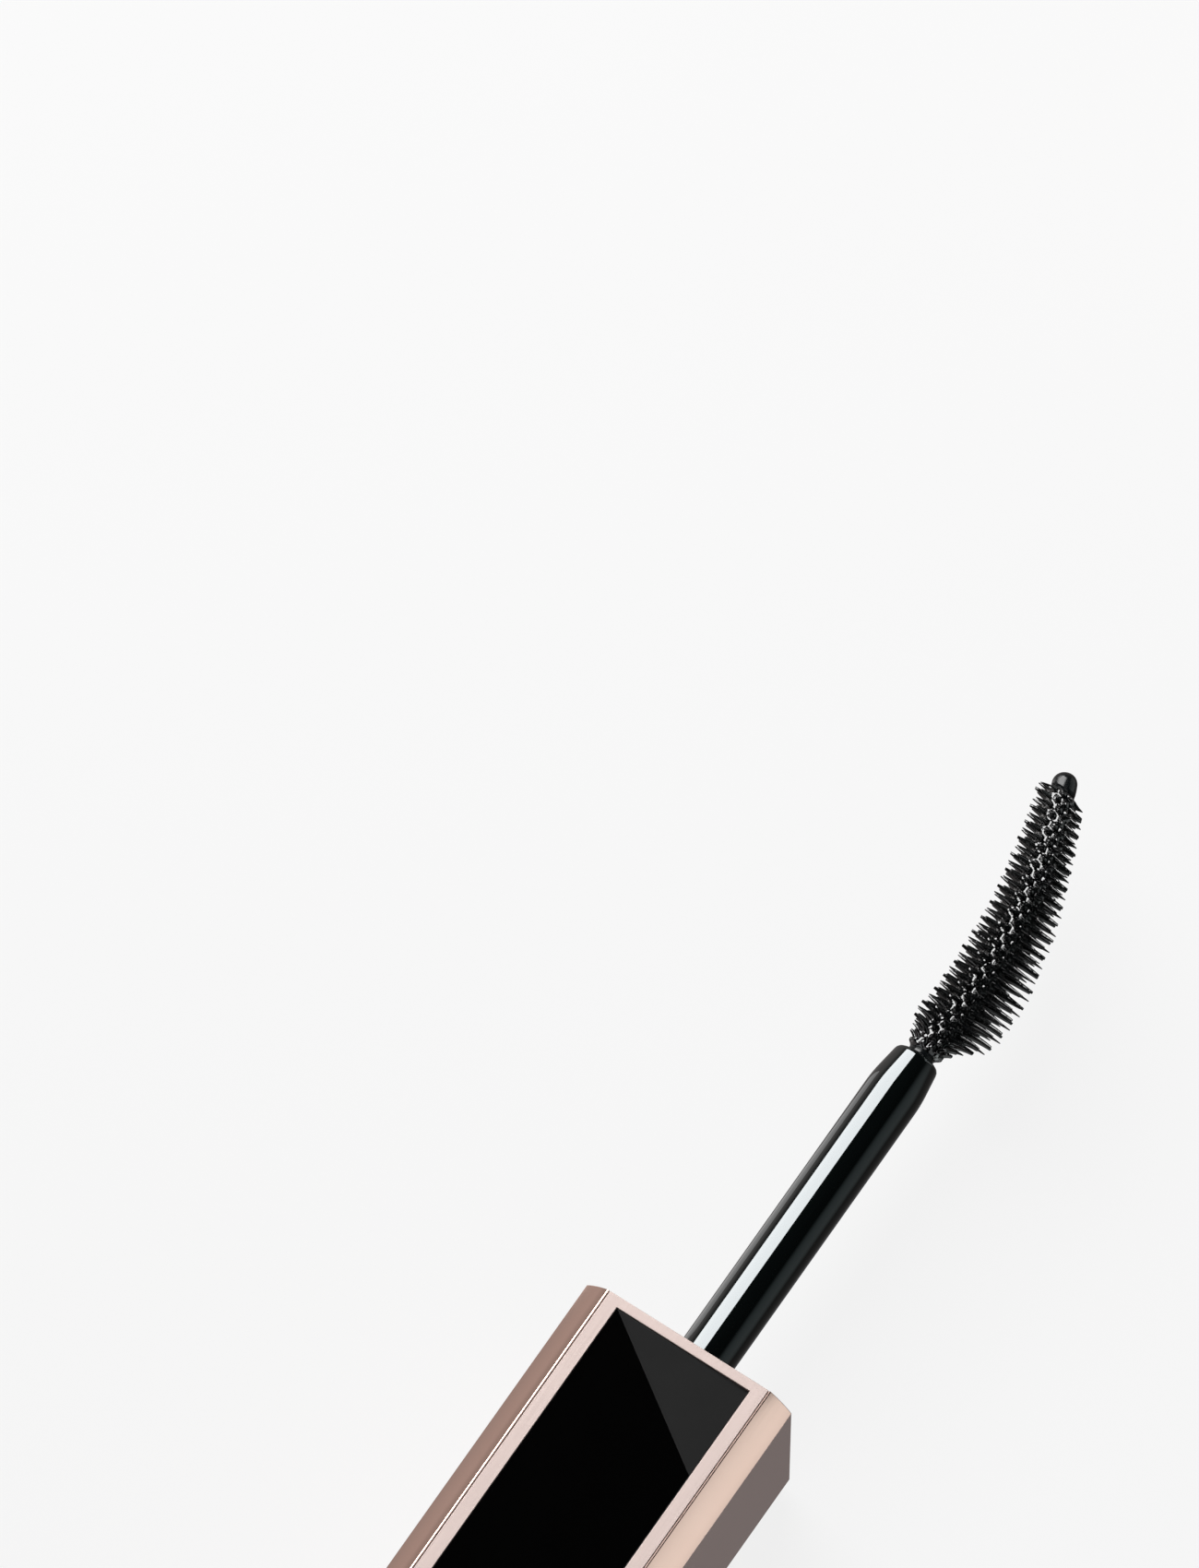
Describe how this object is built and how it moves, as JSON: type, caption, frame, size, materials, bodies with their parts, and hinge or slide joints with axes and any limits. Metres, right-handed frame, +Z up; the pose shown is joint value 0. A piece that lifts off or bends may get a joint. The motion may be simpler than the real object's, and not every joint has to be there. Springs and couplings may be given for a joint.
{
  "type": "mascara",
  "caption": "Mascara with a square bevelled case, a screw cap carrying a stem and a curved spiked brush, and a bottle with a threaded neck and a wiper.",
  "frame": {"origin": "middle of the laid-out object's box, on the surface that it lies on", "axes": "+X runs from the cap to the bottle's base along the wand's axis, +Z up out of the front face, +Y to the left seen from the cap"},
  "size_m": [0.2362, 0.02, 0.02],
  "materials": {
    "case": "polished rose gold",
    "face_plate": "satin rose gold",
    "end_plate": "satin rose gold",
    "end_plug": "metallised rose gold",
    "window": "gloss",
    "inner_cap": "moulded",
    "washer": "moulded foam",
    "stem": "gloss",
    "brush_core": "gloss",
    "bristles": "wet with mascara",
    "vial": "moulded",
    "wiper": "moulded",
    "mascara": "wet paste"
  },
  "bodies": {
    "bottle": {"bottle_sleeve": "case", "bottle_front_plate": "face_plate", "bottle_back_plate": "face_plate", "bottle_front_window": "window", "bottle_back_window": "window", "shoulder_collar": "end_plate", "vial": "vial", "wiper": "wiper", "base_plug": "end_plug"},
    "paste": {"mascara_paste": "mascara"},
    "wand": {"cap_sleeve": "case", "cap_front_plate": "face_plate", "cap_back_plate": "face_plate", "cap_front_window": "window", "cap_back_window": "window", "cap_top_plate": "end_plate", "inner_cap": "inner_cap", "sealing_washer": "washer", "stem": "stem", "brush_core": "brush_core", "brush_bristles": "bristles"}
  },
  "joints": [
    {"name": "cap_twist", "type": "hinge", "parent": "bottle", "child": "paste", "pos_m": [0.04408, 0, 0.01], "axis": [-1, 0, 0], "range_deg": [0, 360]},
    {"name": "wand_slide", "type": "slide", "parent": "paste", "child": "wand", "axis": [1, 0, 0], "range_m": [0, 0.112], "deforming": ["wiper"]}
  ]
}
